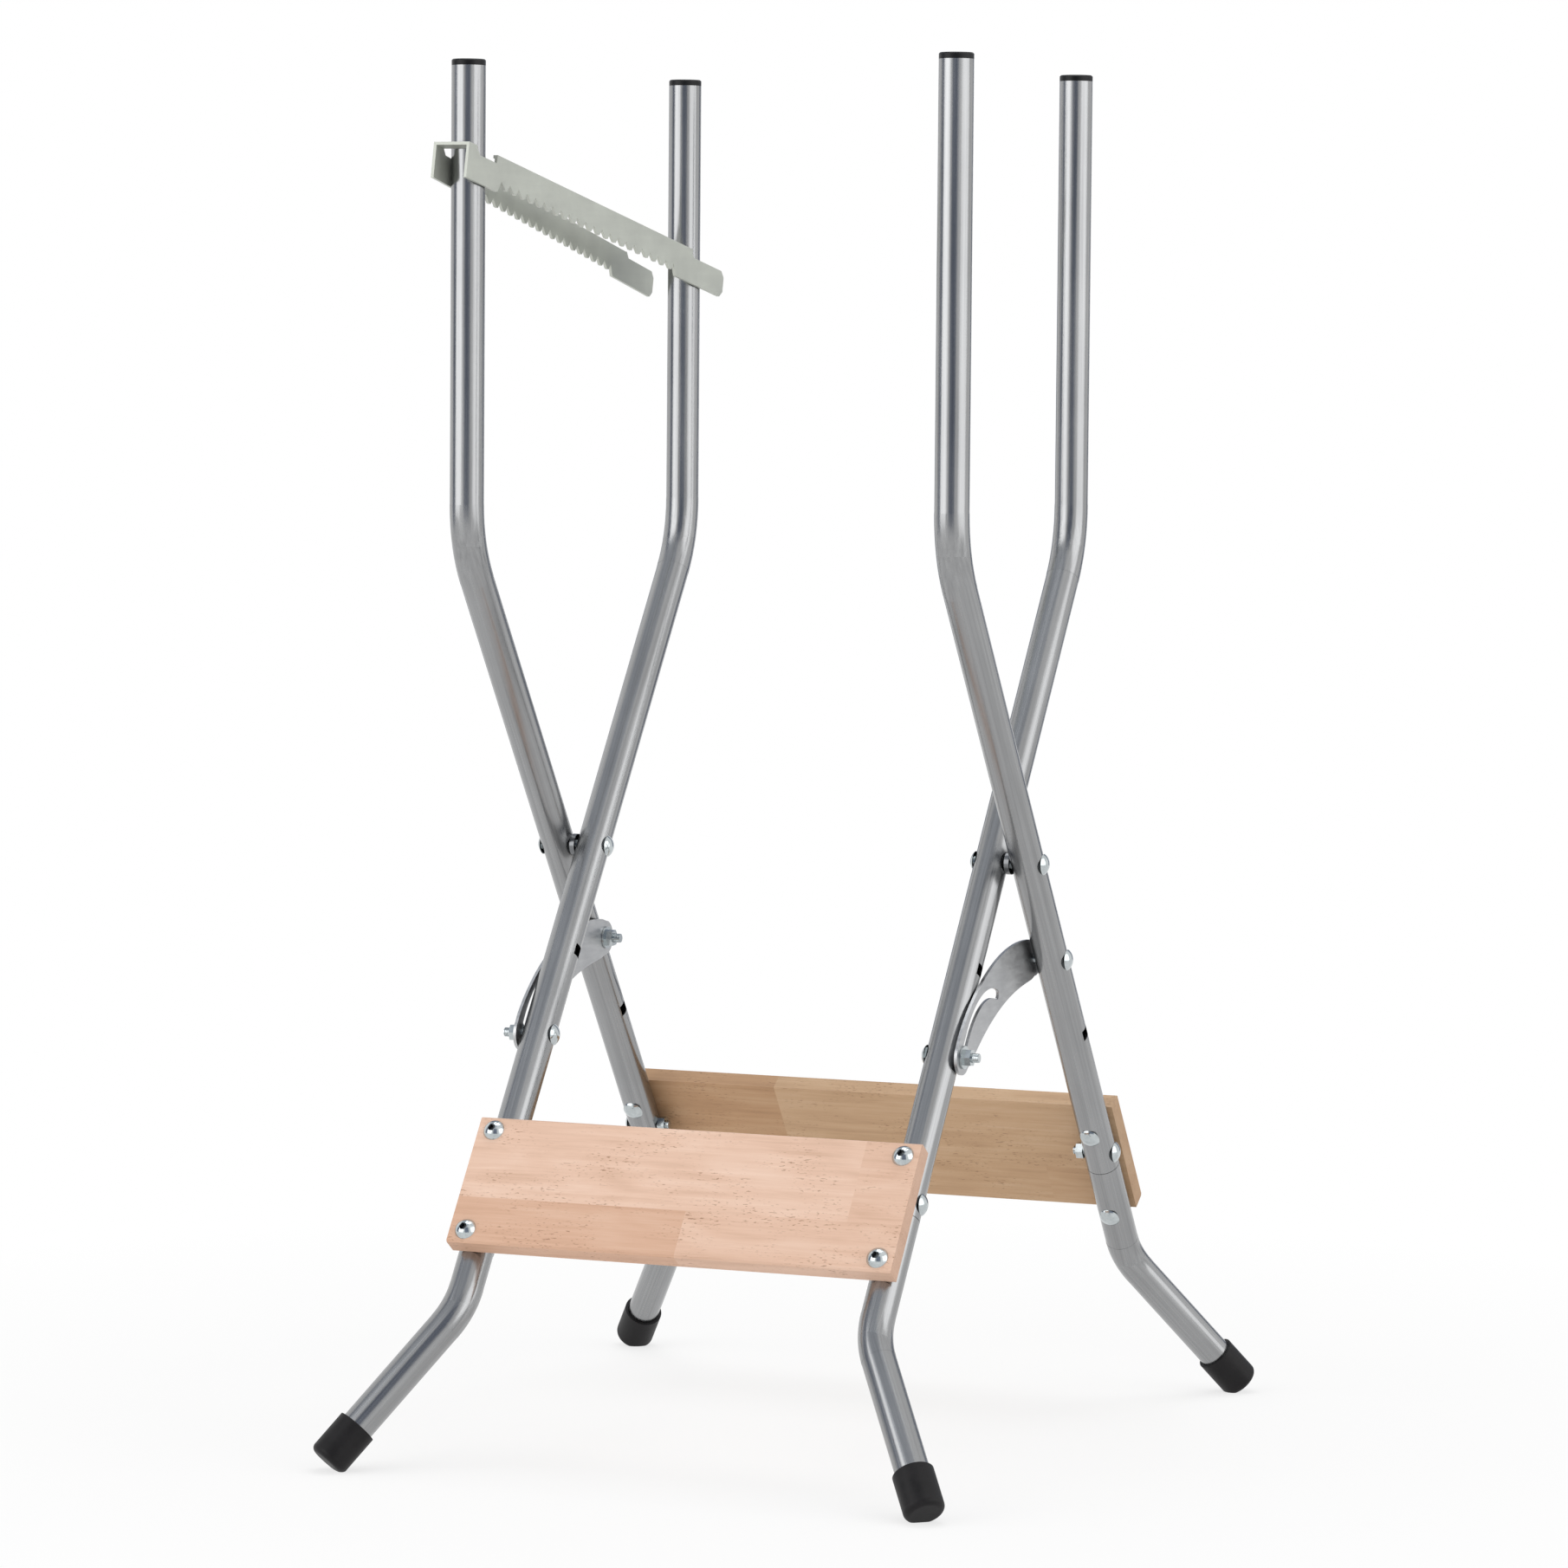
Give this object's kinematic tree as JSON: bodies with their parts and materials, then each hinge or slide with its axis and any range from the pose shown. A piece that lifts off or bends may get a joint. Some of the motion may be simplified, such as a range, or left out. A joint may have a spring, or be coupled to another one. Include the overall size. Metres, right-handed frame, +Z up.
{
  "type": "log_saw_stand",
  "caption": "Folding log saw stand: crossed bent steel tubes with two wooden boards, slotted stays and a toothed claw bar on the left uprights",
  "frame": {"origin": "on the floor, under the middle of the stand", "axes": "X right across the stand, Y to the rear, Z up"},
  "size_m": [0.4834, 0.5588, 0.905],
  "materials": {
    "tube_steel": "galvanised, satin",
    "stay_steel": "zinc plated, dull",
    "claw_steel": "zinc plated, satin",
    "fastener_steel": "zinc plated, bright",
    "wood": "planed beech, matt",
    "rubber": "matt black",
    "cap_plastic": "matt black"
  },
  "bodies": {
    "outer_frame": {"outer_left_tube": "tube_steel", "outer_right_tube": "tube_steel", "rear_left_foot_tube": "tube_steel", "rear_right_foot_tube": "tube_steel", "rear_board": "wood", "rear_board_screws": "fastener_steel", "rear_board_nuts": "fastener_steel", "rear_joint_bolts": "fastener_steel", "rear_joint_nuts": "fastener_steel", "rear_left_rubber_foot": "rubber", "rear_right_rubber_foot": "rubber", "outer_left_end_cap": "cap_plastic", "outer_right_end_cap": "cap_plastic", "pivot_bolts": "fastener_steel", "pivot_nuts": "fastener_steel", "pivot_washers": "fastener_steel", "stay_pivot_bolts": "fastener_steel", "stay_pivot_washers": "fastener_steel", "stay_pivot_nuts": "fastener_steel"},
    "inner_frame": {"inner_left_tube": "tube_steel", "inner_right_tube": "tube_steel", "front_left_foot_tube": "tube_steel", "front_right_foot_tube": "tube_steel", "front_board": "wood", "front_board_screws": "fastener_steel", "front_board_nuts": "fastener_steel", "front_joint_bolts": "fastener_steel", "front_joint_nuts": "fastener_steel", "front_left_rubber_foot": "rubber", "front_right_rubber_foot": "rubber", "inner_left_end_cap": "cap_plastic", "inner_right_end_cap": "cap_plastic", "stay_lock_bolts": "fastener_steel", "stay_lock_washers": "fastener_steel", "stay_lock_nuts": "fastener_steel"},
    "left_stay_link": {"left_stay": "stay_steel"},
    "right_stay_link": {"right_stay": "stay_steel"},
    "claw": {"claw_bar": "claw_steel"}
  },
  "joints": [
    {"name": "fold", "type": "hinge", "parent": "outer_frame", "child": "inner_frame", "pos_m": [0, 0, 0.38536], "axis": [1, 0, 0], "range_deg": [0, 52]},
    {"name": "left_stay_swing", "type": "hinge", "parent": "outer_frame", "child": "left_stay_link", "pos_m": [-0.1561, 0.0475, 0.31852], "axis": [1, 0, 0], "range_deg": [0, 72]},
    {"name": "right_stay_swing", "type": "hinge", "parent": "outer_frame", "child": "right_stay_link", "pos_m": [0.1561, 0.0475, 0.31852], "axis": [1, 0, 0], "range_deg": [0, 72]},
    {"name": "claw_slide", "type": "slide", "parent": "inner_frame", "child": "claw", "axis": [0, 0, 1], "range_m": [-0.15, 0.05]}
  ],
  "couplings": [
    {"joint": "left_stay_swing", "follows": "fold", "ratio": 1.38},
    {"joint": "right_stay_swing", "follows": "fold", "ratio": 1.38}
  ]
}
